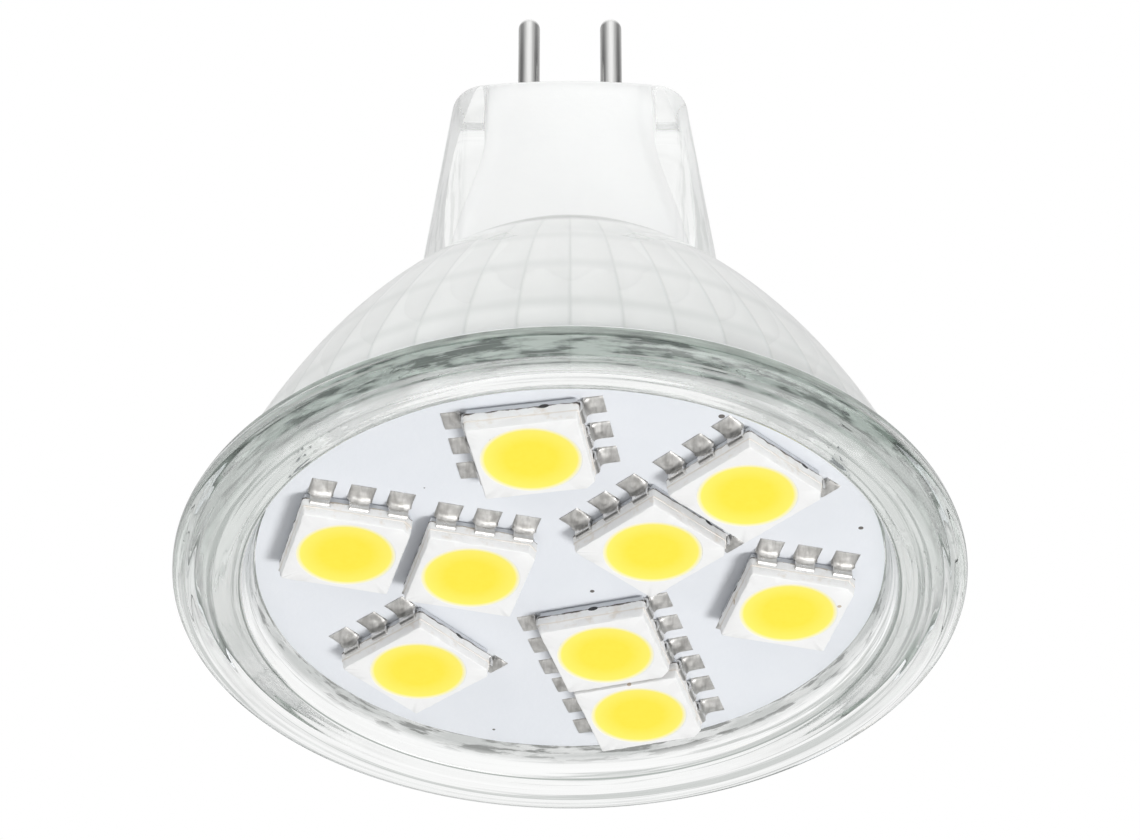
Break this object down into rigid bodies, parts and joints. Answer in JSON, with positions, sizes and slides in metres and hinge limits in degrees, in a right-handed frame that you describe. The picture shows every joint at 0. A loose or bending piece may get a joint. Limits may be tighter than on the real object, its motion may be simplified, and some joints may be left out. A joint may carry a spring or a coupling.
{
  "type": "spotlight bulb",
  "caption": "Low-voltage LED spotlight bulb: faceted pressed-glass reflector, round LED board recessed in its rim, and a flat glass neck with a white core and contact pins.",
  "frame": {"origin": "centre of the rim's front plane, on the lamp's axis", "axes": "+Z along the lamp's axis from the rim towards the pins, +X from one pin to the other"},
  "size_m": [0.0354, 0.0354, 0.035],
  "materials": {
    "clear_glass": "clear pressed glass, fire-polished outside, faceted inside",
    "white_plug": "matt white moulding",
    "pin_steel": "drawn, nickel plated",
    "board_white": "white solder mask",
    "led_ivory": "moulded, slightly warm white",
    "phosphor_yellow": "silicone filled with phosphor, unlit",
    "lead_tin": "tin plated",
    "solder": "dull tinned solder",
    "driver_green": "green solder mask",
    "chip_black": "moulded black",
    "capacitor_tan": "fired ceramic",
    "wire_white": "soft white insulation"
  },
  "bodies": {
    "root": {"ballast_resistors": "chip_black", "base_plug": "white_plug", "bridge_rectifier": "chip_black", "contact_pin_left": "pin_steel", "contact_pin_right": "pin_steel", "driver_board": "driver_green", "glass_reflector": "clear_glass", "lead_wire_negative": "wire_white", "lead_wire_positive": "wire_white", "led_board": "board_white", "led_body_1": "led_ivory", "led_body_2": "led_ivory", "led_body_3": "led_ivory", "led_body_4": "led_ivory", "led_body_5": "led_ivory", "led_body_6": "led_ivory", "led_body_7": "led_ivory", "led_body_8": "led_ivory", "led_body_9": "led_ivory", "led_leads_1": "lead_tin", "led_leads_2": "lead_tin", "led_leads_3": "lead_tin", "led_leads_4": "lead_tin", "led_leads_5": "lead_tin", "led_leads_6": "lead_tin", "led_leads_7": "lead_tin", "led_leads_8": "lead_tin", "led_leads_9": "lead_tin", "led_phosphor_1": "phosphor_yellow", "led_phosphor_2": "phosphor_yellow", "led_phosphor_3": "phosphor_yellow", "led_phosphor_4": "phosphor_yellow", "led_phosphor_5": "phosphor_yellow", "led_phosphor_6": "phosphor_yellow", "led_phosphor_7": "phosphor_yellow", "led_phosphor_8": "phosphor_yellow", "led_phosphor_9": "phosphor_yellow", "pin_solder": "solder", "smoothing_capacitor": "capacitor_tan", "solder_pads": "solder", "wire_solder": "solder"}
  },
  "joints": []
}
